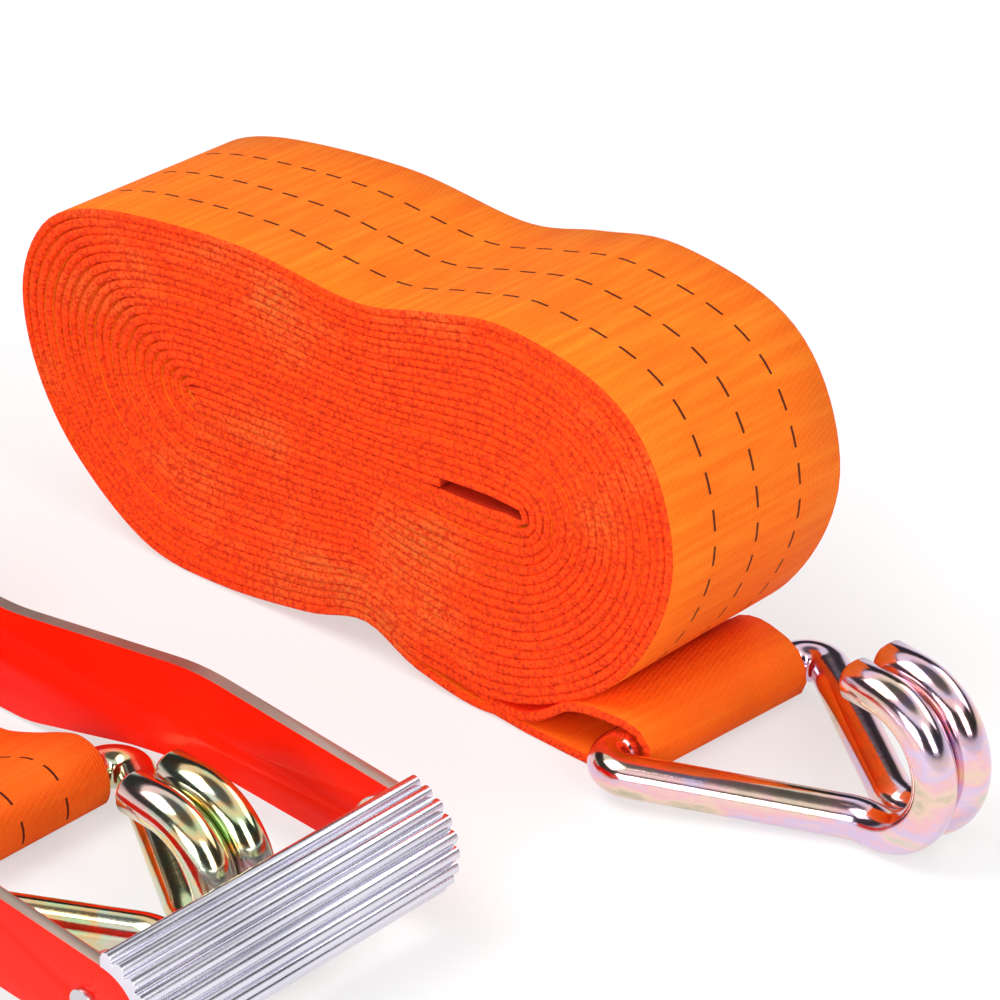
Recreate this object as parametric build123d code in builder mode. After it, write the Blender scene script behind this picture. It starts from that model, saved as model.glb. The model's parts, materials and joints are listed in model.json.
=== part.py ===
from build123d import *
import os
from math import asin, cos, degrees, radians, sin

# A lashing set for 50 mm webbing, in two halves as it is sold and stored: a closed ratchet
# buckle with a short sewn strap and a double J hook, and the long strap rolled up on edge
# with its own sewn eye and hook. Millimetres, floor at z = 0, hooks pointing along +X.

# Webbing
webbing_width = 50.0
webbing_thickness = 1.9
eye_gather = 6.0
eye_slack = 0.5
sleeve_slack = 0.3
stitch_margin = 4.0

# Hook wire
wire_radius = 4.2
hook_bend = 4.8
hook_throat_radius = 14.4
hook_reach = 47.4
hook_tip_run = 6.5
hook_tip_bevel = 1.2
hook_pair_gap = 0.8
hook_apex_bend = 10.0
hook_side_margin = 14.6
hook_floor_gap = 0.1

# Ratchet frame
webbing_clearance = 2.0
frame_plate = 3.0
frame_length = 75.0
axle_height = 24.0
bolt_height = 13.0
ear_radius = 17.0
bolt_ear_radius = 11.0
floor_plate = 3.0
floor_start = 23.0
floor_to_eye = 4.3

# Mandrel, wheels and their fasteners
mandrel_radius = 8.5
mandrel_gap = 3.2
running_clearance = 0.06
side_clearance = 0.3
wheel_thickness = 4.0
wheel_radius = 20.0
wheel_root = 16.0
wheel_teeth = 12
washer_thickness = 1.2
washer_radius = 12.5
split_pin_radius = 1.25
split_pin_overhang = 3.0
split_pin_eye = 2.2
split_pin_wire = 0.9

# Bolt, nut and sleeve
bolt_radius = 5.0
bolt_head = 3.8
bolt_hex = 9.2
sleeve_radius = 6.5

# Handle
handle_plate = 2.8
handle_reach = 204.0
handle_nose_height = 18.0
handle_nose_radius = 9.0
handle_boss = 15.5
handle_floor_gap = 0.8
handle_arm = 23.0
grip_web = 2.2
rib_radius = 1.3
rib_count = 10
rib_step = 15.9
grip_top_angle = 89.5
grip_ear = 2.4
rivet_radius = 1.6
rivet_spread = 4.0
rivet_head = 1.2

# Pawls
pawl_thickness = 3.0
pawl_slot_clearance = 0.2
pawl_travel = 5.0
drive_pawl_angle = 30.0
pawl_plate_length = 17.5
tongue_width = 8.0
tongue_length = 19.0
pawl_end_clearance = 1.0
pawl_overhang = 2.5
bridge_thickness = 2.5
bridge_height = 13.0
bridge_tab = 6.0
tongue_clearance = 0.4
spring_radius = 5.2
spring_wire = 0.45
spring_length = 10.2
spring_turns = 5
spring_end_gap = 0.2

# Short strap and rolled strap
short_strap_reach = 59.0
short_strap_offset = 1.4
lap_start = 15.0
lap_length = 17.0
lap_floor_gap = 0.2
hull_step = 2.0
shoulder_length = 18.0
crease = 0.3
roll_length = 178.0
roll_height = 86.0
eye_inside_roll = 10.0
tail_drift = 2.0
long_hook_yaw = -4.5
tail_lap = 40.0
tail_flat = 10.0
thread_width = 0.9
thread_height = 0.35
first_row = 3.0
row_step = 3.6
row_count = 4

# Places
axle_x = -125.5
roll_from_axle = 36.0
roll_y = 42.6
roll_from_ratchet = 97.1

os.makedirs("parts", exist_ok=True)

def side_plane(x, y, yaw=0.0):
    """Sketch plane seen from -Y: sketch x runs along the strap and sketch y is height."""
    turn = radians(yaw)
    return Plane(origin=(x, y, 0), x_dir=(cos(turn), sin(turn), 0), z_dir=(sin(turn), -cos(turn), 0))


def pawl_plane(angle):
    """Plane through the axle: x points out along the pawl, y is across the ratchet."""
    turn = radians(angle)
    return Plane(
        origin=(axle_x, ratchet_y, axle_height),
        x_dir=(cos(turn), 0, sin(turn)),
        z_dir=(-sin(turn), 0, cos(turn)),
    )


def beside_eye(side):
    """Middle of the stretch beside the long strap's eye, where the webbing is folded in."""
    turn = radians(long_hook_yaw)
    out = side * (eye_width + shoulder) / 2
    middle = (long_hook_x - out * sin(turn), long_hook_y + out * cos(turn), eye_radius)
    return Location(middle, (0, 0, long_hook_yaw))


def on_pawl(angle, radius):
    """Point of the side sketch at a radius from the axle along the pawl's line."""
    turn = radians(angle)
    return (radius * cos(turn), axle_height + radius * sin(turn))


# Worked out from the sizes above
roll_x = axle_x + roll_from_axle
ratchet_y = roll_y - roll_from_ratchet
half_webbing = webbing_width / 2
eye_width = webbing_width - eye_gather
frame_inner = webbing_width + 2 * webbing_clearance
frame_mid = (frame_inner + frame_plate) / 2
wheel_inner = frame_inner / 2 + frame_plate + side_clearance
wheel_mid = wheel_inner + wheel_thickness / 2
handle_inner = wheel_inner + wheel_thickness + side_clearance
handle_outer = handle_inner + handle_plate
handle_mid = handle_inner + handle_plate / 2
washer_mid = handle_outer + side_clearance + washer_thickness / 2
pin_place = washer_mid + washer_thickness / 2 + side_clearance + split_pin_radius
mandrel_half_length = pin_place + split_pin_radius + 2.0
bore_radius = mandrel_radius + running_clearance
eye_radius = wire_radius + eye_slack + webbing_thickness
bolt_eye_radius = sleeve_radius + sleeve_slack + webbing_thickness
bolt_x = axle_x + frame_length
short_hook_x = bolt_x + short_strap_reach
short_strap_y = ratchet_y + short_strap_offset
long_hook_x = roll_x + roll_length - eye_inside_roll
long_hook_y = roll_y + half_webbing - tail_drift
hook_tilt = degrees(asin((eye_radius - wire_radius - hook_floor_gap) / hook_reach))
lap_height = lap_floor_gap + 2 * webbing_thickness
drive_tip = wheel_radius + 0.5
lock_tip = wheel_root + 0.6
tooth_phase = -6.75
shoulder = eye_gather / 2 + 2.0


pawl_to_bridge = pawl_plate_length + spring_length + 2 * spring_end_gap + bridge_thickness / 2
slot_thickness = pawl_thickness + 2 * pawl_slot_clearance
slot_length = pawl_plate_length + pawl_travel + 2 * pawl_end_clearance
slot_middle = slot_length / 2 - pawl_end_clearance
lock_bridge_place = lock_tip + pawl_to_bridge
drive_bridge_place = drive_tip + pawl_to_bridge
bridge_point = on_pawl(drive_pawl_angle, drive_bridge_place)
slot_point = on_pawl(drive_pawl_angle, drive_tip + slot_middle)

# Frame: one folded plate, two side walls and a floor between them
with BuildPart() as ratchet_frame:
    for side in (1, -1):
        with BuildSketch(side_plane(axle_x, ratchet_y + side * frame_mid)):
            with BuildLine():
                Polyline(
                    (0, axle_height - ear_radius),
                    (floor_start - 3, 0),
                    (frame_length - 4, 0),
                    (frame_length, bolt_height - bolt_ear_radius),
                    (frame_length, bolt_height + bolt_ear_radius),
                    (lock_bridge_place + 5, axle_height + 7),
                    (0, axle_height + 7),
                    close=True,
                )
            make_face()
            with Locations((0, axle_height)):
                Circle(ear_radius)
            with Locations((frame_length, bolt_height)):
                Circle(bolt_ear_radius)
            with Locations((0, axle_height)):
                Circle(bore_radius, mode=Mode.SUBTRACT)
            with Locations((frame_length, bolt_height)):
                Circle(bolt_radius, mode=Mode.SUBTRACT)
            with Locations((lock_tip + slot_middle, axle_height)):
                Rectangle(slot_length, slot_thickness, mode=Mode.SUBTRACT)
            with Locations((lock_bridge_place, axle_height)):
                Rectangle(bridge_thickness, bridge_tab, mode=Mode.SUBTRACT)
        extrude(amount=frame_plate / 2, both=True)
    floor_length = frame_length - bolt_eye_radius - floor_to_eye - floor_start
    with Locations((axle_x + floor_start + floor_length / 2, ratchet_y, floor_plate / 2)):
        Box(floor_length, frame_inner, floor_plate)
ratchet_frame.part.label = "ratchet_frame"
export_step(ratchet_frame.part, "parts/ratchet_frame.step")

# Cross plates that the pawl springs push against: one in the frame, one in the handle
for name, angle, place, half_body, half_tab in (
    ("lock_pawl_bracket", 0.0, lock_bridge_place, frame_inner / 2, frame_inner / 2 + frame_plate),
    ("handle_bridge", drive_pawl_angle, drive_bridge_place, handle_inner, handle_outer),
):
    with BuildPart() as bracket:
        with BuildSketch(pawl_plane(angle)):
            with Locations((place, 0)):
                Rectangle(bridge_thickness, 2 * half_body)
        extrude(amount=bridge_height / 2, both=True)
        with BuildSketch(pawl_plane(angle)):
            with Locations((place, 0)):
                Rectangle(bridge_thickness, 2 * half_tab)
        extrude(amount=bridge_tab / 2, both=True)
        with BuildSketch(pawl_plane(angle)):
            with Locations((place, 0)):
                Rectangle(bridge_thickness, tongue_width + 2 * tongue_clearance)
        extrude(amount=pawl_thickness / 2 + tongue_clearance, both=True, mode=Mode.SUBTRACT)
    bracket.part.label = name
    export_step(bracket.part, f"parts/{name}.step")

# Pawls: a flat plate with a bevelled tip, and a tongue that carries the spring
for name, angle, tip, half_width in (
    ("lock_pawl", 0.0, lock_tip, wheel_inner + wheel_thickness - pawl_slot_clearance),
    ("drive_pawl", drive_pawl_angle, drive_tip, handle_outer + pawl_overhang),
):
    with BuildPart() as pawl:
        with BuildSketch(pawl_plane(angle)):
            with Locations((tip + pawl_plate_length / 2, 0)):
                Rectangle(pawl_plate_length, 2 * half_width)
            with Locations((tip + pawl_plate_length + tongue_length / 2, 0)):
                Rectangle(tongue_length, tongue_width)
        extrude(amount=pawl_thickness / 2, both=True)
        tip_edges = pawl.edges().filter_by(Axis.Y).group_by(SortBy.LENGTH)[-1]
        middle = pawl_plane(angle).origin
        tip_edges = tip_edges.sort_by(lambda edge: (edge.center() - middle).length)[0:2]
        chamfer(tip_edges, pawl_thickness / 4)
    pawl.part.label = name
    export_step(pawl.part, f"parts/{name}.step")

# Coil springs around the tongues
for name, angle, tip in (
    ("lock_pawl_spring", 0.0, lock_tip),
    ("drive_pawl_spring", drive_pawl_angle, drive_tip),
):
    turn = radians(angle)
    start = tip + pawl_plate_length + spring_end_gap + spring_wire
    height = spring_length - 2 * spring_wire
    with BuildPart() as spring:
        with BuildLine() as coil:
            Helix(
                pitch=height / spring_turns,
                height=height,
                radius=spring_radius,
                center=(axle_x + start * cos(turn), ratchet_y, axle_height + start * sin(turn)),
                direction=(cos(turn), 0, sin(turn)),
            )
        with BuildSketch(Plane(origin=coil.line @ 0, z_dir=coil.line % 0)):
            Circle(spring_wire)
        sweep(is_frenet=True)
    spring.part.label = name
    export_step(spring.part, f"parts/{name}.step")

# Mandrel: two half-round bars with the webbing slot between them
for name, side in (("mandrel_half_upper", 1), ("mandrel_half_lower", -1)):
    with BuildPart() as half:
        with BuildSketch(side_plane(axle_x, ratchet_y)):
            with Locations((0, axle_height)):
                Circle(mandrel_radius)
            with Locations((0, axle_height - side * (mandrel_radius - mandrel_gap / 2))):
                Rectangle(2 * mandrel_radius, 2 * mandrel_radius, mode=Mode.SUBTRACT)
        extrude(amount=mandrel_half_length, both=True)
        for pin_side in (1, -1):
            with Locations((axle_x, ratchet_y + pin_side * pin_place, axle_height)):
                Cylinder(split_pin_radius, 4 * mandrel_radius, mode=Mode.SUBTRACT)
    half.part.label = name
    export_step(half.part, f"parts/{name}.step")

# Ratchet wheels: saw teeth outside, two half-round holes keyed on the mandrel inside
tooth_angle = 360.0 / wheel_teeth
tooth_points = ((wheel_root, 0.0), (wheel_root, 0.46), (wheel_radius, 0.84), (wheel_radius, 1.0))
for name, side in (("ratchet_wheel_right", 1), ("ratchet_wheel_left", -1)):
    with BuildPart() as wheel:
        with BuildSketch(side_plane(axle_x, ratchet_y + side * wheel_mid)):
            rim = []
            for tooth in range(wheel_teeth):
                base = tooth_phase + tooth * tooth_angle
                for radius, share in tooth_points:
                    angle = radians(base + share * tooth_angle)
                    rim.append((radius * cos(angle), axle_height + radius * sin(angle)))
            with BuildLine():
                Polyline(*rim, close=True)
            make_face()
            with Locations((0, axle_height)):
                Circle(bore_radius, mode=Mode.SUBTRACT)
                Rectangle(2 * mandrel_radius + 2, mandrel_gap - 2 * running_clearance)
        extrude(amount=wheel_thickness / 2, both=True)
    wheel.part.label = name
    export_step(wheel.part, f"parts/{name}.step")

# Washers and split pins that keep the handle on the mandrel
with BuildPart() as mandrel_washers:
    for side in (1, -1):
        with BuildSketch(side_plane(axle_x, ratchet_y + side * washer_mid)):
            with Locations((0, axle_height)):
                Circle(washer_radius)
                Circle(bore_radius, mode=Mode.SUBTRACT)
        extrude(amount=washer_thickness / 2, both=True)
mandrel_washers.part.label = "mandrel_washers"
export_step(mandrel_washers.part, "parts/mandrel_washers.step")

pin_reach = mandrel_radius + split_pin_overhang
with BuildPart() as split_pins:
    for side in (1, -1):
        place = ratchet_y + side * pin_place
        with Locations((axle_x, place, axle_height)):
            Cylinder(split_pin_radius, 2 * pin_reach)
        with Locations((axle_x, place, axle_height + pin_reach + split_pin_eye - split_pin_wire / 2)):
            Torus(split_pin_eye, split_pin_wire, rotation=(90, 0, 0))
split_pins.part.label = "split_pins"
export_step(split_pins.part, "parts/split_pins.step")

# Bolt, nut and turning sleeve at the strap end of the frame
bolt_end = frame_inner / 2 + frame_plate + bolt_head
with BuildPart() as base_bolt:
    with BuildSketch(side_plane(bolt_x, ratchet_y)):
        with Locations((0, bolt_height)):
            Circle(bolt_radius)
    extrude(amount=bolt_end, both=True)
    with BuildSketch(side_plane(bolt_x, ratchet_y + bolt_end)):
        with Locations((0, bolt_height)):
            RegularPolygon(bolt_hex, 6)
    extrude(amount=bolt_head)
base_bolt.part.label = "base_bolt"
export_step(base_bolt.part, "parts/base_bolt.step")

with BuildPart() as base_nut:
    with BuildSketch(side_plane(bolt_x, ratchet_y - bolt_end + bolt_head)):
        with Locations((0, bolt_height)):
            RegularPolygon(bolt_hex, 6)
            Circle(bolt_radius, mode=Mode.SUBTRACT)
    extrude(amount=bolt_head)
base_nut.part.label = "base_nut"
export_step(base_nut.part, "parts/base_nut.step")

with BuildPart() as base_sleeve:
    with BuildSketch(side_plane(bolt_x, ratchet_y)):
        with Locations((0, bolt_height)):
            Circle(sleeve_radius)
            Circle(bolt_radius + running_clearance, mode=Mode.SUBTRACT)
    extrude(amount=frame_inner / 2 - side_clearance, both=True)
base_sleeve.part.label = "base_sleeve"
export_step(base_sleeve.part, "parts/base_sleeve.step")

# Handle side plates: boss over the wheels, long dipped arm, round nose for the grip
nose = (handle_reach, handle_nose_height)
hump = bridge_point[1] + bridge_height / 2 - 0.4
for name, side in (("handle_plate_right", 1), ("handle_plate_left", -1)):
    with BuildPart() as plate:
        with BuildSketch(side_plane(axle_x, ratchet_y + side * handle_mid)):
            with BuildLine():
                FilletPolyline(
                    (-6, axle_height + handle_boss),
                    (bridge_point[0] - 19, hump),
                    (bridge_point[0] + 3, hump),
                    (bridge_point[0] + 25, handle_arm + 6),
                    (bridge_point[0] + 50, handle_arm),
                    (handle_reach - 52, handle_arm + 8.6),
                    (handle_reach, handle_nose_height + handle_nose_radius),
                    (handle_reach, handle_nose_height - handle_nose_radius),
                    (handle_reach - 48, 11.5),
                    (handle_reach - 70, 8.0),
                    (handle_reach - 100, handle_floor_gap),
                    (14, handle_floor_gap),
                    (-6, axle_height - handle_boss),
                    close=True,
                    radius=[4, 14, 14, 20, 60, 60, 0.5, 0.5, 40, 40, 30, 10, 4],
                )
            make_face()
            with Locations((0, axle_height)):
                Circle(ear_radius)
            with Locations(nose):
                Circle(handle_nose_radius)
            with Locations((0, axle_height)):
                Circle(bore_radius, mode=Mode.SUBTRACT)
            with Locations(slot_point):
                Rectangle(slot_length, slot_thickness, rotation=drive_pawl_angle, mode=Mode.SUBTRACT)
            with Locations(bridge_point):
                Rectangle(bridge_thickness, bridge_tab, rotation=drive_pawl_angle, mode=Mode.SUBTRACT)
            with Locations((nose[0] - rivet_spread, nose[1]), (nose[0] + rivet_spread, nose[1])):
                Circle(rivet_radius, mode=Mode.SUBTRACT)
        extrude(amount=handle_plate / 2, both=True)
    plate.part.label = name
    export_step(plate.part, f"parts/{name}.step")

# Ribbed grip: a bent web across the handle's nose with an ear inside each plate
grip_edge = 8.0
grip_span = rib_step * (rib_count - 1) + 2 * grip_edge
web_radius = handle_nose_radius + grip_web
with BuildPart() as handle_grip:
    with BuildSketch(side_plane(axle_x, ratchet_y)):
        with BuildLine():
            outer_arc = CenterArc(nose, web_radius, grip_top_angle - grip_span, grip_span)
            inner_arc = CenterArc(nose, handle_nose_radius, grip_top_angle - grip_span, grip_span)
            Line(outer_arc @ 0, inner_arc @ 0)
            Line(outer_arc @ 1, inner_arc @ 1)
        make_face()
        for rib in range(rib_count):
            angle = radians(grip_top_angle - grip_edge - rib * rib_step)
            with Locations((nose[0] + web_radius * cos(angle), nose[1] + web_radius * sin(angle))):
                Circle(rib_radius)
    extrude(amount=handle_outer, both=True)
    for side in (1, -1):
        with BuildSketch(side_plane(axle_x, ratchet_y + side * (handle_inner - grip_ear / 2))):
            with Locations(nose):
                Circle(handle_nose_radius)
            with Locations((nose[0] - rivet_spread, nose[1]), (nose[0] + rivet_spread, nose[1])):
                Circle(rivet_radius, mode=Mode.SUBTRACT)
        extrude(amount=grip_ear / 2, both=True)
handle_grip.part.label = "handle_grip"
export_step(handle_grip.part, "parts/handle_grip.step")

rivet_grip = handle_plate + grip_ear
with BuildPart() as grip_rivets:
    for side in (1, -1):
        for spread in (-rivet_spread, rivet_spread):
            with BuildSketch(side_plane(axle_x, ratchet_y + side * (handle_outer - rivet_grip / 2))):
                with Locations((nose[0] + spread, nose[1])):
                    Circle(rivet_radius)
            extrude(amount=rivet_grip / 2, both=True)
            with BuildSketch(side_plane(axle_x, ratchet_y + side * (handle_outer + rivet_head / 2))):
                with Locations((nose[0] + spread, nose[1])):
                    Circle(rivet_radius + rivet_head)
            extrude(amount=rivet_head / 2, both=True)
grip_rivets.part.label = "grip_rivets"
export_step(grip_rivets.part, "parts/grip_rivets.step")

# Short strap: an eye round the sleeve, a sewn lap on the floor and an eye round the hook
lap_end = lap_start + lap_length
with BuildPart() as short_strap:
    with BuildSketch(side_plane(bolt_x, short_strap_y)):
        with Locations((0, bolt_height)):
            Circle(bolt_eye_radius)
        with Locations((lap_start + hull_step / 2, lap_height - webbing_thickness)):
            Rectangle(hull_step, 2 * webbing_thickness)
        make_hull()
    extrude(amount=half_webbing, both=True)
    with BuildSketch(side_plane(bolt_x, short_strap_y)):
        with Locations((short_strap_reach, eye_radius)):
            Circle(eye_radius)
        with Locations((lap_end - hull_step / 2, lap_height - webbing_thickness)):
            Rectangle(hull_step, 2 * webbing_thickness)
        make_hull()
        with Locations((lap_start + lap_length / 2, lap_height - webbing_thickness)):
            Rectangle(lap_length, 2 * webbing_thickness)
    extrude(amount=half_webbing, both=True)
    with BuildSketch(side_plane(bolt_x, short_strap_y)):
        with Locations((0, bolt_height)):
            Circle(sleeve_radius + sleeve_slack)
        with Locations((lap_start - 5, lap_height + 2 * crease)):
            Circle(crease)
        make_hull()
    extrude(amount=half_webbing, both=True, mode=Mode.SUBTRACT)
    with BuildSketch(side_plane(bolt_x, short_strap_y)):
        with Locations((short_strap_reach, eye_radius)):
            Circle(wire_radius + eye_slack)
        with Locations((lap_end + 5, lap_height - 2 * crease)):
            Circle(crease)
        make_hull()
    extrude(amount=half_webbing, both=True, mode=Mode.SUBTRACT)
    for side in (1, -1):
        with Locations((short_hook_x, short_strap_y + side * (eye_width + shoulder) / 2, eye_radius)):
            Box(shoulder_length, shoulder, 4 * eye_radius, mode=Mode.SUBTRACT)
short_strap.part.label = "short_strap"
export_step(short_strap.part, "parts/short_strap.step")

# Rows of stitching across the sewn lap
with BuildPart() as short_strap_stitching:
    with BuildSketch(side_plane(bolt_x, short_strap_y)):
        for row in range(row_count):
            with Locations((lap_start + first_row + row * row_step, lap_height + thread_height / 2)):
                Rectangle(thread_width, thread_height)
    extrude(amount=half_webbing - stitch_margin, both=True)
short_strap_stitching.part.label = "short_strap_stitching"
export_step(short_strap_stitching.part, "parts/short_strap_stitching.step")

# Long strap: rolled on edge into two lobes with a waist, its sewn tail leaving at the floor.
# The outline is in shares of the roll's length and height.
roll_outline = [
    (0.0, 0.574), (0.028, 0.738), (0.087, 0.840), (0.202, 0.902), (0.375, 0.935), (0.545, 0.909),
    (0.657, 0.960), (0.764, 0.999), (0.899, 0.944), (0.971, 0.806), (1.0, 0.573), (0.960, 0.329),
    (0.870, 0.114), (0.752, 0.007), (0.640, 0.028), (0.556, 0.096), (0.461, 0.046), (0.322, 0.0065),
    (0.198, 0.026), (0.082, 0.184), (0.019, 0.371),
]
tail_plane = side_plane(long_hook_x, long_hook_y, long_hook_yaw)
with BuildPart() as long_strap:
    with BuildSketch(side_plane(roll_x, roll_y + half_webbing)):
        with BuildLine():
            Spline(*[(x * roll_length, z * roll_height) for x, z in roll_outline], periodic=True)
        make_face()
    extrude(amount=half_webbing, both=True)
    with BuildSketch(tail_plane):
        with Locations((0, eye_radius)):
            Circle(eye_radius)
        with Locations((tail_flat / 2 - tail_lap, webbing_thickness)):
            Rectangle(tail_flat, 2 * webbing_thickness)
        make_hull()
    extrude(amount=half_webbing, both=True)
    with BuildSketch(tail_plane):
        with Locations((0, eye_radius)):
            Circle(wire_radius + eye_slack)
        with Locations((-2 * eye_radius, eye_radius - 5 * crease)):
            Circle(crease)
        make_hull()
    extrude(amount=half_webbing + tail_drift, both=True, mode=Mode.SUBTRACT)
    for side in (1, -1):
        with Locations(beside_eye(side)):
            Box(shoulder_length, shoulder, 2 * eye_radius, mode=Mode.SUBTRACT)
    with BuildSketch(tail_plane):
        for row in range(row_count):
            with Locations((first_row + row * row_step - tail_lap, thread_height / 2)):
                Rectangle(thread_width, thread_height)
    extrude(amount=half_webbing - stitch_margin, both=True, mode=Mode.SUBTRACT)
long_strap.part.label = "long_strap"
export_step(long_strap.part, "parts/long_strap.step")

with BuildPart() as long_strap_stitching:
    with BuildSketch(tail_plane):
        for row in range(row_count):
            with Locations((first_row + row * row_step - tail_lap, thread_height / 2)):
                Rectangle(thread_width, thread_height)
    extrude(amount=half_webbing - stitch_margin, both=True)
long_strap_stitching.part.label = "long_strap_stitching"
export_step(long_strap_stitching.part, "parts/long_strap_stitching.step")

# Double J hooks: one wire bent into a base for the eye, two side runs that meet, and two Js
hook_offset = wire_radius + hook_pair_gap / 2
hook_corner = eye_width / 2 + hook_side_margin - wire_radius
hook_back = hook_reach - hook_tip_run
hook_front = hook_reach + hook_throat_radius
hook_rise = 2 * hook_throat_radius
hook_apex = hook_reach - 2.0
throat_bend = hook_throat_radius - 0.02
tilt = radians(hook_tilt)
for name, x, y, yaw in (
    ("short_strap_hook", short_hook_x, short_strap_y, 0.0),
    ("long_strap_hook", long_hook_x, long_hook_y, long_hook_yaw),
):
    turn = radians(yaw)
    hook_plane = Plane(
        origin=(x, y, eye_radius),
        x_dir=(cos(turn) * cos(tilt), sin(turn) * cos(tilt), -sin(tilt)),
        z_dir=(cos(turn) * sin(tilt), sin(turn) * sin(tilt), cos(tilt)),
    )
    half_wire = [
        (hook_back, hook_offset, hook_rise),
        (hook_front, hook_offset, hook_rise),
        (hook_front, hook_offset, 0),
        (hook_apex, hook_offset, 0),
        (0, hook_corner, 0),
    ]
    half_bends = [throat_bend, throat_bend, hook_apex_bend, hook_bend]
    with BuildPart() as hook:
        with BuildLine(hook_plane) as wire:
            FilletPolyline(
                *half_wire,
                *[(along, -across, up) for along, across, up in reversed(half_wire)],
                radius=half_bends + half_bends[::-1],
            )
        with BuildSketch(Plane(origin=wire.line @ 0, z_dir=wire.line % 0)):
            Circle(wire_radius)
        sweep()
        for end, outward in ((wire.line @ 0, -(wire.line % 0)), (wire.line @ 1, wire.line % 1)):
            with BuildSketch(Plane(origin=end, z_dir=outward)):
                Circle(wire_radius)
            extrude(amount=hook_tip_bevel, taper=40)
    hook.part.label = name
    export_step(hook.part, f"parts/{name}.step")
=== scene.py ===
import json
import random
from math import atan2, cos, exp, pi, radians, sin

import bmesh
import bpy
from mathutils import Matrix, Vector

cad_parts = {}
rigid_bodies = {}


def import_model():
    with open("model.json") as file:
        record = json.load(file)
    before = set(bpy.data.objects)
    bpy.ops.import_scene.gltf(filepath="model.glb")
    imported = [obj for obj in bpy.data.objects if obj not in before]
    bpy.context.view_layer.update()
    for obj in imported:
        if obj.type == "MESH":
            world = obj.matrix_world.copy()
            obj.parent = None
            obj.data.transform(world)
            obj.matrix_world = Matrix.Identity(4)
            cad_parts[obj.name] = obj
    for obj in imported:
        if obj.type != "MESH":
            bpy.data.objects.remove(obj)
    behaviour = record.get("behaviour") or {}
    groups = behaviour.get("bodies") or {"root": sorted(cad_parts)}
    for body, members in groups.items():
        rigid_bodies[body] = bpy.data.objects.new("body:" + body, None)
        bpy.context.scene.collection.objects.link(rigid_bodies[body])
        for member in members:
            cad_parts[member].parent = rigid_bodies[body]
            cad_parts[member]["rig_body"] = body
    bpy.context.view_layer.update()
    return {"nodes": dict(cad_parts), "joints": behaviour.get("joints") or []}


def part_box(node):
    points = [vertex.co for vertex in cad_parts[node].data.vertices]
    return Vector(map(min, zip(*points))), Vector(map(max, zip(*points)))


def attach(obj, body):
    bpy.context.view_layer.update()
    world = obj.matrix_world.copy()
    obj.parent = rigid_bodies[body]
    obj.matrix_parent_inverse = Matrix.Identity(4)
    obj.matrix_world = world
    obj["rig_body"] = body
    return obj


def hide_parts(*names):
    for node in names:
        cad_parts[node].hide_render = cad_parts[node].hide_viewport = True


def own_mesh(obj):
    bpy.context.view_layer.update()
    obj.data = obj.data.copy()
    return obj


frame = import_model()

mm = 0.001

# places read from the frame's joints
joints = {joint["name"]: joint for joint in frame["joints"]}
bolt = Vector(joints["short_strap_swing"]["pos_m"])
shortEye = Vector(joints["short_hook_swing"]["pos_m"])
longEye = Vector(joints["long_hook_swing"]["pos_m"])
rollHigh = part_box("long_strap")[1]
longAxis = joints["long_hook_swing"]["axis"]
longYaw = atan2(longAxis[0], -longAxis[1])
print("frame loaded:", len(frame["nodes"]), "nodes")

webbing = {
    "width": 50 * mm,
    "thickness": 1.9 * mm,
    "eyeWidth": 44 * mm,
    "eyeBend": 5.5,                # the eye's bend round the hook's base, in mm
    "eyeHeight": 6.6,              # the middle of that bend above the floor
    "floorHeight": 1.1,            # the middle of the layer that lies on the floor
    "lapHeight": 3.05,             # the middle of the layer sewn on it
    "ringStep": 3.0 * mm,          # spacing of the rings along the strap
    "lineShares": (0.25, 0.5, 0.75),
    "dashPitch": 7.2 * mm,
    "dashLength": 4.2 * mm,
    "lineWidth": 0.62 * mm,
    "warps": 66,                   # yarns across the width
    "ribs": 42,                    # ribs along one width's length
}

view = {
    "place": (0.5179, -0.4746, 0.4308),     # metres
    "azimuth": 42.38,                       # degrees
    "elevation": 28.42,
    "lens": 151.76,
    "shiftUp": -0.012,
}


def link(thing):
    bpy.context.scene.collection.objects.link(thing)
    return thing


def aim(thing, place, target):
    thing.location = place
    thing.rotation_euler = (Vector(target) - Vector(place)).to_track_quat("-Z", "Y").to_euler()


def makeCamera():
    data = bpy.data.cameras.new("camera")
    data.lens = view["lens"]
    data.sensor_width = 36
    data.shift_y = view["shiftUp"]
    data.clip_start = 0.01
    camera = link(bpy.data.objects.new("camera", data))
    az, el = radians(view["azimuth"]), radians(view["elevation"])
    forward = Vector((-sin(az) * cos(el), cos(az) * cos(el), -sin(el)))
    aim(camera, view["place"], Vector(view["place"]) + forward)
    bpy.context.scene.camera = camera


makeCamera()
print("camera placed")


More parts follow.
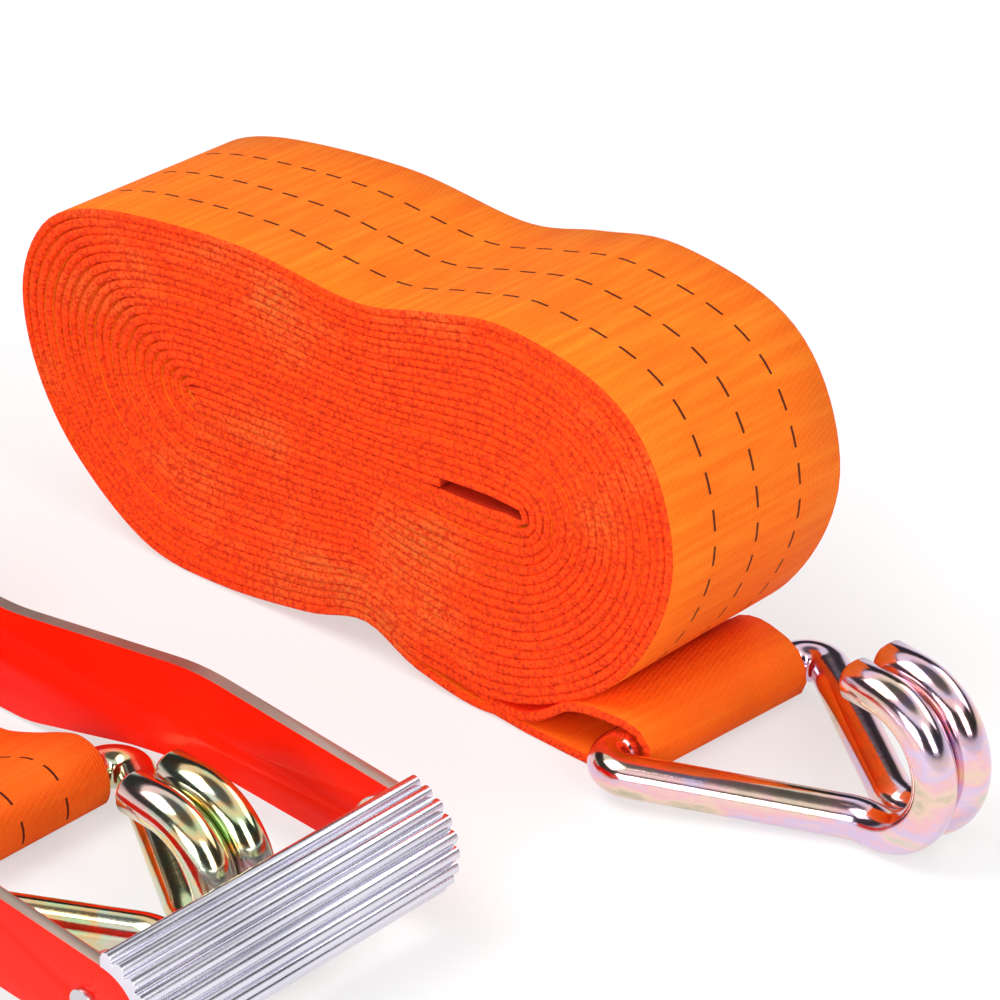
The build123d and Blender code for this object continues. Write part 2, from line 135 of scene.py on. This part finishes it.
# an output socket that takes part in sums
class Wire:
    def __init__(self, tree, socket):
        self.tree = tree
        self.socket = socket

    def maths(self, operation, first, second=0.0):
        node = self.tree.nodes.new("ShaderNodeMath")
        node.operation = operation
        plug(self.tree, node.inputs[0], first)
        plug(self.tree, node.inputs[1], second)
        return Wire(self.tree, node.outputs[0])

    def __add__(self, other):
        return self.maths("ADD", self, other)

    def __radd__(self, other):
        return self.maths("ADD", other, self)

    def __sub__(self, other):
        return self.maths("SUBTRACT", self, other)

    def __rsub__(self, other):
        return self.maths("SUBTRACT", other, self)

    def __mul__(self, other):
        return self.maths("MULTIPLY", self, other)

    def __rmul__(self, other):
        return self.maths("MULTIPLY", other, self)

    def __mod__(self, other):
        return self.maths("FLOORED_MODULO", self, other)

    def __lt__(self, other):
        return self.maths("LESS_THAN", self, other)

    def __gt__(self, other):
        return self.maths("GREATER_THAN", self, other)

    def __abs__(self):
        return self.maths("ABSOLUTE", self)

    def sine(self):
        return self.maths("SINE", self)

    # 0 below low, 1 above high
    def between(self, low, high):
        node = self.tree.nodes.new("ShaderNodeMapRange")
        for name, value in (("Value", self), ("From Min", low), ("From Max", high)):
            plug(self.tree, node.inputs[name], value)
        return Wire(self.tree, node.outputs[0])


def plug(tree, target, value):
    if isinstance(value, Wire):
        tree.links.new(value.socket, target)
    else:
        target.default_value = value


def addNode(tree, kind, settings=None, sockets=None, out=0):
    node = tree.nodes.new(kind)
    for name, value in (settings or {}).items():
        if name == "stops":
            elements = node.color_ramp.elements
            while len(elements) < len(value):
                elements.new(0.5)
            for element, (place, colour) in zip(elements, value):
                element.position = place
                element.color = (*colour, 1)
        else:
            setattr(node, name, value)
    for name, value in (sockets or {}).items():
        plug(tree, node.inputs[name], value)
    return Wire(tree, node.outputs[out])


def mixColours(tree, share, first, second):
    node = tree.nodes.new("ShaderNodeMix")
    node.data_type = "RGBA"
    plug(tree, node.inputs[0], share)
    for socket, value in ((node.inputs[6], first), (node.inputs[7], second)):
        plug(tree, socket, value if isinstance(value, Wire) else (*value, 1))
    return Wire(tree, node.outputs[2])


def splitVector(tree, vector):
    node = addNode(tree, "ShaderNodeSeparateXYZ", None, {"Vector": vector}).socket.node
    return [Wire(tree, socket) for socket in node.outputs]


class Finish:
    def __init__(self, name, colour, roughness, metallic=0.0, **others):
        self.material = bpy.data.materials.new(name)
        self.material.use_nodes = True
        self.tree = self.material.node_tree
        self.shader = self.tree.nodes["Principled BSDF"]
        self.set("Base Color", (*colour, 1))
        self.set("Roughness", roughness)
        self.set("Metallic", metallic)
        for socket, value in others.items():
            self.set(socket.replace("_", " "), value)

    def set(self, name, value):
        plug(self.tree, self.shader.inputs[name], value)

    def node(self, kind, settings=None, sockets=None, out=0):
        return addNode(self.tree, kind, settings, sockets, out)

    def place(self):
        return self.node("ShaderNodeTexCoord", out="Object")

    def split(self, vector):
        return splitVector(self.tree, vector)

    def noise(self, vector, scale, detail=3.0, stretch=(1, 1, 1)):
        moved = self.node("ShaderNodeMapping", None, {"Vector": vector, "Scale": stretch})
        sockets = {"Vector": moved, "Scale": scale, "Detail": detail}
        return self.node("ShaderNodeTexNoise", None, sockets, "Fac")

    def mix(self, share, first, second):
        return mixColours(self.tree, share, first, second)

    def ramp(self, value, stops):
        return self.node("ShaderNodeValToRGB", {"stops": stops}, {"Fac": value}, "Color")

    def bump(self, height, distance, strength=1.0):
        sockets = {"Height": height, "Distance": distance, "Strength": strength}
        self.set("Normal", self.node("ShaderNodeBump", None, sockets, "Normal"))


stage = {
    "floorColour": (0.86, 0.86, 0.86, 1),
    "floorGlow": 0.55,             # how much of the floor's own white a camera or a mirror sees
    "worldLight": 0.5,
    # what polished metal sees overhead, from the horizon up
    "sky": [
        (0.0, (0.92, 0.92, 0.92)), (0.18, (0.75, 0.75, 0.77)), (0.27, (0.03, 0.03, 0.035)),
        (0.66, (0.02, 0.02, 0.025)), (0.70, (1.0, 1.0, 1.0)), (0.86, (0.95, 0.95, 0.95)),
        (0.93, (0.12, 0.12, 0.13)),
    ],
    "lamps": {
        "key": ((-0.5, -0.6, 1.3), (0.9, 0.9), 14),
        "front": ((0.35, -1.3, 0.55), (0.7, 0.5), 10),
        "right": ((1.2, -0.2, 0.8), (0.5, 0.7), 6),
        "back": ((0.4, 1.1, 0.9), (1.2, 0.5), 5),
    },
}


def seenRays(tree, names):
    rays = tree.nodes.new("ShaderNodeLightPath")
    total = sum((Wire(tree, rays.outputs[name]) for name in names), 0.0)
    return total.maths("MINIMUM", total, 1.0)


def makeFloor():
    bm = bmesh.new()
    bmesh.ops.create_grid(bm, x_segments=1, y_segments=1, size=6)
    mesh = bpy.data.meshes.new("floor")
    bm.to_mesh(mesh)
    bm.free()
    link(bpy.data.objects.new("floor", mesh))
    material = bpy.data.materials.new("paleFloor")
    material.use_nodes = True
    tree = material.node_tree
    tree.nodes.clear()
    seen = seenRays(tree, ("Is Camera Ray", "Is Glossy Ray", "Is Transmission Ray"))
    diffuse = tree.nodes.new("ShaderNodeBsdfDiffuse")
    diffuse.inputs["Color"].default_value = stage["floorColour"]
    glow = tree.nodes.new("ShaderNodeEmission")
    mix = tree.nodes.new("ShaderNodeMixShader")
    plug(tree, mix.inputs[0], seen * stage["floorGlow"])
    tree.links.new(diffuse.outputs[0], mix.inputs[1])
    tree.links.new(glow.outputs[0], mix.inputs[2])
    out = tree.nodes.new("ShaderNodeOutputMaterial")
    tree.links.new(mix.outputs[0], out.inputs[0])
    mesh.materials.append(material)


def makeWorld():
    world = bpy.data.worlds.new("studio")
    bpy.context.scene.world = world
    world.use_nodes = True
    tree = world.node_tree
    background = tree.nodes["Background"]
    glossy = seenRays(tree, ("Is Glossy Ray",))
    seen = seenRays(tree, ("Is Camera Ray", "Is Glossy Ray", "Is Transmission Ray"))
    plug(tree, background.inputs["Strength"], seen * (1 - stage["worldLight"]) + stage["worldLight"])
    direction = addNode(tree, "ShaderNodeTexCoord", out="Generated")
    height = splitVector(tree, direction)[2]
    sky = addNode(tree, "ShaderNodeValToRGB", {"stops": stage["sky"]}, {"Fac": height})
    plug(tree, background.inputs["Color"], mixColours(tree, glossy, (1, 1, 1), sky))


def makeLamps():
    for name, (place, size, power) in stage["lamps"].items():
        data = bpy.data.lights.new(name, "AREA")
        data.shape = "RECTANGLE"
        data.size, data.size_y = size
        data.energy = power
        aim(link(bpy.data.objects.new(name, data)), place, (0, 0, 0))


makeFloor()
makeWorld()
makeLamps()
bpy.context.scene.view_settings.view_transform = "Standard"
print("stage lit")


dashColour = (0.055, 0.008, 0.005)
tanColour = (0.40, 0.16, 0.03)


# places along the strap are in widths: no dashes up to plainUpTo, painted shade in deep red on the tail by
# the roll up to shadedUpTo, and painted shade in dark red on the hidden inner turns from shadedCoreFrom
def webbingFinish(name, faceColour, edgeColour, tan, plainUpTo=0.0, shadedUpTo=0.0, shadedCoreFrom=1000.0):
    paint = Finish(name, faceColour, 0.78, Specular_IOR_Level=0.12)
    spot = paint.place()
    uv = paint.node("ShaderNodeUVMap", {"uv_map": "strap"})
    along, across, _ = paint.split(uv)
    height = paint.split(spot)[2]
    warps = across * webbing["warps"]
    column = warps.maths("FLOOR", warps)
    warpWave = (warps * (2 * pi)).sine()
    ribWave = (along * (webbing["ribs"] * 2 * pi) + column * (pi * 0.5)).sine()
    weave = warpWave * 0.25 + ribWave * 0.3
    side = (abs(across - 0.5) * 2.0) > 0.98
    gap = webbing["lineWidth"] / webbing["width"] / 2
    lines = sum((abs(across - share) < gap for share in webbing["lineShares"]), 0.0)
    dash = (along % (webbing["dashPitch"] / webbing["width"])) < (webbing["dashLength"] / webbing["width"])
    mark = lines * dash * (along > plainUpTo)
    streak = paint.noise(uv, 1.0, 3.0, (26, 1.6, 1))
    fibre = paint.noise(uv, 1.0, 2.0, (150, 60, 1))
    speckle = paint.noise(spot, 1300.0, 2.0).between(0.35, 0.65)
    cloud = paint.noise(spot, 22.0, 3.0)
    deep = tuple(c * 0.74 for c in faceColour)
    pale = (faceColour[0], faceColour[1] * 1.5, faceColour[2] * 2.5)
    face = paint.mix(weave * 0.5 + 0.6, deep, faceColour)
    face = paint.mix((streak - 0.42).maths("MULTIPLY", streak - 0.42, 2.2), face, pale)
    face = paint.mix((cloud - 0.45) * tan * fibre * 2.6, face, tanColour)
    # painted shade: the webbing turns a deeper red towards the floor, where the roll shades it
    low = 1 - height.between(0.008, 0.058)
    face = paint.mix(low * 0.55, face, (0.97, 0.100, 0.003))
    # painted shade: the tail where it runs by the roll turns deep red
    tailShade = 1 - along.between(shadedUpTo * 0.6, shadedUpTo + 0.001)
    face = paint.mix(tailShade * 0.9, face, (0.90, 0.022, 0.003))
    # painted shade: the inner turns, seen only down the roll's slit, turn dark red
    face = paint.mix(along > shadedCoreFrom, face, (0.42, 0.015, 0.002))
    edgeDeep = (edgeColour[0] * 0.62, edgeColour[1] * 0.5, edgeColour[2])
    knit = paint.noise(uv, 1.0, 2.0, (44, 1, 1)) + speckle * 0.7
    edge = paint.mix((knit - 0.58) * 2.6, edgeDeep, edgeColour)
    patch = paint.noise(spot, 30.0, 3.0, (1, 1, 1.6)).between(0.52, 0.70)
    edge = paint.mix(patch * speckle * (1.15 * tan), edge, tanColour)
    colour = paint.mix(side, face, edge)
    colour = paint.mix(mark * 0.94, colour, dashColour)
    paint.set("Base Color", colour)
    paint.bump(weave + streak * 0.8 + fibre * 0.4 - mark * 0.3, 0.00016, 0.8)
    return paint.material


longFinish = webbingFinish("orangeWebbing", (0.96, 0.165, 0.006), (0.97, 0.062, 0.004), 0.6, 2.3, 0.85, 127.6)
shortFinish = webbingFinish("shortWebbing", (0.96, 0.165, 0.010), (0.95, 0.075, 0.004), 0.9)
threadFinish = Finish("sewingThread", (0.80, 0.09, 0.008), 0.7, Specular_IOR_Level=0.2).material


def plainMetal(name, colour, roughness, tint=None, grain=0.06):
    paint = Finish(name, colour, roughness, 1.0)
    spot = paint.place()
    cloud = paint.noise(spot, 60.0, 4.0)
    fine = paint.noise(spot, 900.0, 2.0)
    darker = tuple(c * 0.76 for c in colour)
    paint.set("Base Color", paint.mix(cloud, darker, tint or colour))
    paint.set("Roughness", cloud * 0.12 + (roughness - 0.05) + fine * grain)
    paint.bump(fine * 0.5 + cloud, 0.00006, 0.3)
    return paint.material


# chromate over zinc: bands of colour that drift along the wire
def hookMetal(name, stops):
    paint = Finish(name, stops[2][1], 0.14, 1.0)
    spot = paint.place()
    cloud = paint.noise(spot, 52.0, 3.0, (1.0, 1.0, 2.4))
    fine = paint.noise(spot, 800.0, 3.0)
    paint.set("Base Color", paint.ramp(cloud + (fine - 0.5) * 0.10, stops))
    paint.set("Roughness", cloud * 0.08 + fine * 0.06 + 0.07)
    paint.bump(fine + cloud * 1.5, 0.00004, 0.35)
    return paint.material


pinkHook = hookMetal("pinkChromate", [
    (0.28, (0.46, 0.46, 0.33)), (0.40, (0.84, 0.62, 0.50)), (0.48, (0.86, 0.52, 0.56)),
    (0.56, (0.70, 0.56, 0.76)), (0.64, (0.86, 0.60, 0.60)), (0.76, (0.60, 0.66, 0.52)),
])
goldHook = hookMetal("greenChromate", [
    (0.28, (0.42, 0.48, 0.28)), (0.40, (0.56, 0.70, 0.40)), (0.48, (0.84, 0.56, 0.26)),
    (0.56, (0.60, 0.70, 0.52)), (0.64, (0.84, 0.56, 0.52)), (0.76, (0.66, 0.70, 0.60)),
])
zincFinish = plainMetal("zincPlate", (0.72, 0.73, 0.76), 0.26)
pawlFinish = plainMetal("pawlSteel", (0.50, 0.50, 0.53), 0.32)
springFinish = plainMetal("springWire", (0.55, 0.55, 0.58), 0.22)
gripFinish = plainMetal("gripPlate", (0.80, 0.82, 0.94), 0.2, (0.88, 0.84, 0.92))
# painted highlight: a light tan metal colour for the handle plates' thin rim faces
rimHighlightFinish = plainMetal("rimHighlight", (0.60, 0.42, 0.33), 0.36, (0.78, 0.62, 0.54))


def redPaint():
    paint = Finish("redPaint", (0.86, 0.008, 0.002), 0.3, Specular_IOR_Level=0.1,
                   Coat_Weight=0.1, Coat_Roughness=0.08)
    spot = paint.place()
    cloud = paint.noise(spot, 30.0, 3.0)
    peel = paint.noise(spot, 500.0, 2.0)
    paint.set("Base Color", paint.mix(cloud, (0.74, 0.003, 0.001), (0.90, 0.016, 0.002)))
    paint.set("Roughness", cloud * 0.1 + 0.26)
    paint.bump(peel, 0.00005, 0.35)
    return paint.material


paintFinish = redPaint()
print("finishes made")


def pickFour(points, span, closed):
    total = len(points)
    if closed:
        return [points[(span + k) % total] for k in (-1, 0, 1, 2)]
    return [points[min(max(span + k, 0), total - 1)] for k in (-1, 0, 1, 2)]


# a smooth line through the points
def smoothLine(points, count, closed=False):
    out = []
    spans = len(points) if closed else len(points) - 1
    for span in range(spans):
        a, b, c, d = pickFour(points, span, closed)
        for piece in range(count):
            t = piece / count
            straight = b + (c - a) * (0.5 * t)
            bent = (a * 2 - b * 5 + c * 4 - d) * (0.5 * t * t) + (b * 3 - a - c * 3 + d) * (0.5 * t * t * t)
            out.append(straight + bent)
    out.append(points[0].copy() if closed else points[-1].copy())
    return out


# places at an even spacing along a line: point index, share of the way to the next, length so far
def evenly(points, step):
    lengths = [0.0]
    for a, b in zip(points, points[1:]):
        lengths.append(lengths[-1] + (b - a).length)
    count = max(2, round(lengths[-1] / step))
    out, k = [], 0
    for ring in range(count + 1):
        want = lengths[-1] * ring / count
        while k < len(points) - 2 and lengths[k + 1] < want:
            k += 1
        span = lengths[k + 1] - lengths[k] or 1.0
        out.append((k, min(1.0, (want - lengths[k]) / span), want))
    return out


def smoothStep(low, high, value):
    t = min(1.0, max(0.0, (value - low) / (high - low)))
    return t * t * (3 - 2 * t)


# one ring of the webbing: share of the width, and side of the thickness, going round
section = (
    [(share, 1.0) for share in (0.007, 0.25, 0.5, 0.75, 0.993)]
    + [(1.0, 0.5), (1.0, -0.5)]
    + [(share, -1.0) for share in (0.993, 0.75, 0.5, 0.25, 0.007)]
    + [(0.0, -0.5), (0.0, 0.5)]
)


def finishMesh(name, bm, material):
    for face in bm.faces:
        face.smooth = True
    mesh = bpy.data.meshes.new(name)
    bm.to_mesh(mesh)
    bm.free()
    mesh.materials.append(material)
    return link(bpy.data.objects.new(name, mesh))


# a grid wrapped round the webbing's cross-section and led along the rings
def webbingMesh(name, rings, finish):
    around, last = len(section), len(rings) - 1
    bm = bmesh.new()
    bmesh.ops.create_grid(bm, x_segments=last, y_segments=around, size=1)
    uvLayer = bm.loops.layers.uv.new("strap")
    lengths = [0.0]
    for a, b in zip(rings, rings[1:]):
        lengths.append(lengths[-1] + (b["centre"] - a["centre"]).length)
    cells = {}
    for vertex in bm.verts:
        cells[vertex] = (round((vertex.co.x + 1) * last / 2), round((vertex.co.y + 1) * around / 2))
    for face in bm.faces:
        for loop in face.loops:
            ring, spot = cells[loop.vert]
            loop[uvLayer].uv = (lengths[ring] / webbing["width"], section[spot % around][0])
    for vertex, (ring, spot) in cells.items():
        at = rings[ring]
        share, side = section[spot % around]
        sideways = at["cross"] * ((share - 0.5) * at["width"] + at["drift"])
        vertex.co = at["centre"] + sideways + at["normal"] * (side * at["half"])
    bmesh.ops.remove_doubles(bm, verts=bm.verts, dist=1e-7)
    bmesh.ops.holes_fill(bm, edges=[edge for edge in bm.edges if edge.is_boundary], sides=0)
    bmesh.ops.recalc_face_normals(bm, faces=bm.faces)
    strap = finishMesh(name, bm, finish)
    print(name, round(lengths[-1], 3), "m,", len(rings), "rings")
    return strap, lengths[-1]


roll = {
    "turns": 21,
    # lengths and places in mm, from the roll's low left corner
    "length": 178,
    "height": 86,
    "leftEye": (52, 43),           # the middle of each lobe
    "rightEye": (139, 47),
    "slitFrom": 121,               # the gap left open in the middle
    "slitTo": 137,
    "slitHalf": 0.5,
    "liftFrom": (108, 124),        # the layers rise here to lie on the tail,
    "liftTo": (150, 166),          # and are down again here
    "lift": 1.9,
    "liftBelow": 45,               # only the layers under this height are lifted
    "eyeX": 168,
    "tailRoom": 2.05,              # room for a layer in the tail
    "slantSpan": (30, 130),        # the tail's slant goes between these lengths of strap
    "gather": (52.0, 13.0),        # length of strap where the eye is narrowest, and its spread
    "nearFace": 23,                # the near face, in front of the hook's eye
    "packing": 0.985,              # share of the room that a layer fills
    "wander": 0.35 * mm,           # how far a layer's edge strays sideways
    "wanderSpan": (90, 200),       # the straying starts between these lengths of strap
    "seed": 11,
}
# the roll's outline from its lowest point on the right, by the left lobe and over the top, in shares
rollOutline = [
    (0.752, 0.007), (0.640, 0.028), (0.556, 0.096), (0.461, 0.046), (0.322, 0.0065), (0.198, 0.026),
    (0.082, 0.184), (0.019, 0.371), (0.0, 0.574), (0.028, 0.738), (0.087, 0.840), (0.202, 0.902),
    (0.375, 0.935), (0.545, 0.909), (0.657, 0.960), (0.764, 0.999), (0.899, 0.944), (0.971, 0.806),
    (1.0, 0.573), (0.960, 0.329), (0.870, 0.114),
]
rollCorner = Vector((rollHigh.x - roll["length"] * mm, longEye.y - roll["nearFace"] * mm, 0))


# the wound layers, from the outermost inwards: one spiral between the outline and the slit
def rollPath():
    corners = [Vector((x * roll["length"], z * roll["height"])) for x, z in rollOutline]
    line = smoothLine(corners, 24, True)
    outline = [line[k].lerp(line[k + 1], t) for k, t, _ in evenly(line, 0.5)]
    steps = len(outline) - 1
    left, right = Vector(roll["leftEye"]), Vector(roll["rightEye"])

    def corePoint(point):
        share = min(1.0, max(0.0, (point.x - left.x) / (right.x - left.x)))
        core = left.lerp(right, share)
        gap = smoothStep(roll["slitFrom"] - 8, roll["slitFrom"] + 4, core.x)
        gap *= 1 - smoothStep(roll["slitTo"] - 5, roll["slitTo"] + 1, core.x)
        lean = 1 if point.y > core.y else -1
        return core + Vector((0, lean * gap * roll["slitHalf"]))

    cores = [corePoint(point) for point in outline]
    path, room = [], []
    for count in range(int(roll["turns"] * steps) - steps // 3):
        turn, place = divmod(count, steps)
        stair = turn + smoothStep(0.86, 1.0, place / steps)
        share = (0.5 + stair) / roll["turns"]
        point = outline[place].lerp(cores[place], share)
        if count > steps // 2 and point.y < roll["liftBelow"]:
            window = smoothStep(*roll["liftFrom"], point.x) * (1 - smoothStep(*roll["liftTo"], point.x))
            point = point + Vector((0, roll["lift"] * window * (1 - share) ** 2))
        path.append(point)
        room.append((outline[place] - cores[place]).length / roll["turns"])
    return path, room


# points round a bend, in degrees from its top
def bendPoints(x, z, radius, start, stop, step=20):
    turns = [radians(degree) for degree in range(start, stop, step)]
    return [Vector((x + radius * sin(turn), z + radius * cos(turn))) for turn in turns]


# the strap's place and direction, a share of the way past point k
def runAt(points, k, share):
    ahead = points[min(k + 2, len(points) - 1)]
    behind = points[max(k - 1, 0)]
    return points[k].lerp(points[k + 1], share), (ahead - behind).normalized()


# the strap's width, gathered in at its eye
def widthAt(want, gather):
    place, spread = gather
    near = exp(-((want - place) / spread) ** 2)
    return webbing["width"] - (webbing["width"] - webbing["eyeWidth"]) * near


# the sewn end, over the hook's base and back under the roll
def tailPath():
    upper = [(126, 3.6), (134.5, 3.0), (143, 3.5), (149.4, 6.9), (154.4, 10.7), (160.5, 12.3)]
    bend = bendPoints(roll["eyeX"], webbing["eyeHeight"], webbing["eyeBend"], 0, 181)
    lower = [(x, webbing["floorHeight"]) for x in (160, 150, 142)]
    return smoothLine([Vector(p) for p in upper] + bend + [Vector(p) for p in lower], 10)


def makeLongStrap():
    path, room = rollPath()
    tail = tailPath()
    points = tail + path
    rooms = [roll["tailRoom"]] * len(tail) + room
    chance = random.Random(roll["seed"])
    waves = []
    for _ in range(7):
        size, phase = chance.uniform(0.25, 1.0), chance.uniform(0, 2 * pi)
        waves.append((size, phase, chance.uniform(0.1, 0.9)))
    rings = []
    for k, share, want in evenly(points, webbing["ringStep"] / mm):
        spot, direction = runAt(points, k, share)
        free = rooms[k] + (rooms[k + 1] - rooms[k]) * share
        slant = 1 - smoothStep(*roll["slantSpan"], want)
        turned = longYaw * slant
        back = (spot.x - roll["eyeX"]) * mm
        straight = Vector((rollCorner.x + spot.x * mm, rollCorner.y + webbing["width"] / 2, spot.y * mm))
        slanted = Vector((longEye.x + back * cos(longYaw), longEye.y + back * sin(longYaw), spot.y * mm))
        flat = Vector((cos(turned), sin(turned), 0))
        wander = sum(sin(want / (40 * size) + phase) * weight for size, phase, weight in waves) / 3
        rings.append({
            "centre": straight.lerp(slanted, slant),
            "cross": Vector((-sin(turned), cos(turned), 0)),
            "normal": flat * -direction.y + Vector((0, 0, direction.x)),
            "width": widthAt(want, roll["gather"]),
            "drift": wander * roll["wander"] * smoothStep(*roll["wanderSpan"], want),
            "half": min(webbing["thickness"], free * roll["packing"] * mm) / 2,
        })
    return webbingMesh("longStrap", rings, longFinish)


longStrap, longLength = makeLongStrap()
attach(longStrap, "strap_roll")
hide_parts("long_strap")


short = {
    # lengths and places in mm, from the bolt
    "eye": 59,                     # the hook's eye
    "boltHeight": 13,
    "sleeveBend": 7.75,            # the bend round the bolt's sleeve
    "lapEnds": (23.3, 23.9),       # where the two turned-back ends meet, sewn on the lower layer
    "ringStep": 1.5,
    "gather": (46.0, 12.0),        # length of strap where the eye is narrowest, and its spread
}


# from the lap over the hook's base, along the floor, round the bolt's sleeve and back to the lap
def makeShortStrap():
    first, second = short["lapEnds"]
    lap = webbing["lapHeight"]
    over = [(second, lap), (29, lap), (34, 3.6), (42, 6.5), (50, 10.0), (55, 11.8)]
    bend = bendPoints(short["eye"], webbing["eyeHeight"], webbing["eyeBend"], 0, 181)
    floorRun = [(x, webbing["floorHeight"]) for x in (52, 42, 32, 22, 15)] + [(9, 2.6)]
    sleeve = bendPoints(0, short["boltHeight"], short["sleeveBend"], 160, 411, 15)
    back = [(10.0, 11.4), (14.0, 5.6), (16.5, 3.4), (19, lap), (first, lap)]
    points = [Vector(p) for p in over] + bend + [Vector(p) for p in floorRun] + sleeve
    points = smoothLine(points + [Vector(p) for p in back], 8)
    rings = []
    for k, share, want in evenly(points, short["ringStep"]):
        spot, direction = runAt(points, k, share)
        rings.append({
            "centre": Vector((bolt.x + spot.x * mm, shortEye.y, spot.y * mm)),
            "cross": Vector((0, 1, 0)),
            "normal": Vector((-direction.y, 0, direction.x)),
            "width": widthAt(want, short["gather"]),
            "drift": 0.0,
            "half": webbing["thickness"] / 2,
        })
    return webbingMesh("shortStrap", rings, shortFinish)


shortStrap, shortLength = makeShortStrap()
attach(shortStrap, "short_strap")
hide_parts("short_strap")
print("straps made")


stitching = {
    "pitch": 3.2 * mm,
    "length": 2.5 * mm,
    "thread": 0.45 * mm,
    "height": 0.4 * mm,
    "slant": 16,                   # degrees
    "rows": 4,
    "rowStep": 3.6 * mm,
    "longHalf": 21.2 * mm,         # half of each strap's rows
    "shortHalf": 20.8 * mm,
}


# rows of short slanting stitches, in the box of the node that they stand for
def makeStitching(name, node, body, yaw, half):
    low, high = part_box(node)
    middle = (low + high) / 2
    across = half * 2 - stitching["length"]
    count = round(across / stitching["pitch"])
    seat = Matrix.Translation((middle.x, middle.y, low.z + stitching["height"] / 2))
    seat = seat @ Matrix.Rotation(yaw, 4, "Z")
    shape = Matrix.Diagonal((stitching["thread"], stitching["length"], stitching["height"], 1))
    bm = bmesh.new()
    for row in range(stitching["rows"]):
        offset = (row - (stitching["rows"] - 1) / 2) * stitching["rowStep"]
        for place in range(count + 1):
            made = bmesh.ops.create_icosphere(bm, subdivisions=1, radius=0.5)
            lean = radians(stitching["slant"] * (-1 if (place + row) % 2 else 1))
            turn = Matrix.Rotation(lean, 4, "Z")
            spot = Matrix.Translation((offset, (place / count - 0.5) * across, 0))
            bmesh.ops.transform(bm, matrix=seat @ spot @ turn @ shape, verts=made["verts"])
    stitches = finishMesh(name, bm, threadFinish)
    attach(stitches, body)
    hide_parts(node)
    return stitches


longStitches = makeStitching("longStrapStitches", "long_strap_stitching", "strap_roll",
                             longYaw, stitching["longHalf"])
shortStitches = makeStitching("shortStrapStitches", "short_strap_stitching", "short_strap",
                              0.0, stitching["shortHalf"])
print("stitches sewn")


metalwork = {
    "sharp": 28,                   # degrees past which an edge is an edge
    # mm that each piece's edges are broken by
    "bevels": {
        "handle_plate_right": 0.5, "handle_plate_left": 0.5, "handle_grip": 0.25, "grip_rivets": 0.2,
        "handle_bridge": 0.3, "ratchet_frame": 0.3, "lock_pawl_bracket": 0.3, "lock_pawl": 0.25,
        "drive_pawl": 0.25, "mandrel_half_upper": 0.3, "mandrel_half_lower": 0.3,
        "ratchet_wheel_right": 0.25, "ratchet_wheel_left": 0.25, "mandrel_washers": 0.2, "base_bolt": 0.3,
        "base_nut": 0.3, "base_sleeve": 0.3, "split_pins": 0.0, "short_strap_hook": 0.0,
        "long_strap_hook": 0.0, "lock_pawl_spring": 0.0, "drive_pawl_spring": 0.0,
    },
    # finish and slot, where a piece isn't plain zinc
    "coats": {
        "handle_plate_right": (paintFinish, "red_paint"),
        "handle_plate_left": (paintFinish, "red_paint"),
        "handle_grip": (gripFinish, "grip_plate"),
        "short_strap_hook": (goldHook, "hook_plate"),
        "long_strap_hook": (pinkHook, "hook_plate"),
        "lock_pawl": (pawlFinish, "pawl_steel"),
        "drive_pawl": (pawlFinish, "pawl_steel"),
        "lock_pawl_spring": (springFinish, "spring_steel"),
        "drive_pawl_spring": (springFinish, "spring_steel"),
        "split_pins": (springFinish, "spring_steel"),
    },
}


# a copy of the node with its doubles merged and its edges broken
def refine(node, bevel):
    source = frame["nodes"][node]
    limit = radians(metalwork["sharp"])
    finish, slot = metalwork["coats"].get(node, (zincFinish, "zinc_plate"))
    bm = bmesh.new()
    bm.from_mesh(source.data)
    bmesh.ops.remove_doubles(bm, verts=bm.verts, dist=1e-6)
    bmesh.ops.dissolve_limit(bm, angle_limit=radians(0.5), verts=bm.verts, edges=bm.edges)
    if bevel:
        sharp = [edge for edge in bm.edges if edge.is_manifold and edge.calc_face_angle() > limit]
        bmesh.ops.bevel(bm, geom=sharp, offset=bevel * mm, affect="EDGES", segments=2, profile=0.5,
                        material=-1, clamp_overlap=True)
    piece = finishMesh(node.replace("_", "-"), bm, finish)
    piece.data.set_sharp_from_angle(angle=limit)
    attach(piece, source["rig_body"])
    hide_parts(node)
    return piece


fittings = {node: refine(node, bevel) for node, bevel in metalwork["bevels"].items()}

# the plates' thin cut-edge faces take a light tan metal colour, a painted highlight along them
for plate in ("handle_plate_right", "handle_plate_left"):
    mesh = fittings[plate].data
    mesh.materials.append(rimHighlightFinish)
    for polygon in mesh.polygons:
        polygon.material_index = 1 if abs(polygon.normal.y) < 0.35 else 0

# each spring gets a mesh of its own; the table pairs each spring with its slide joint
springs = {"lock_pawl_spring": "lock_pawl_slide", "drive_pawl_spring": "drive_pawl_slide"}
for node, joint in springs.items():
    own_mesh(fittings[node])
print("metalwork finished:", len(fittings), "pieces")
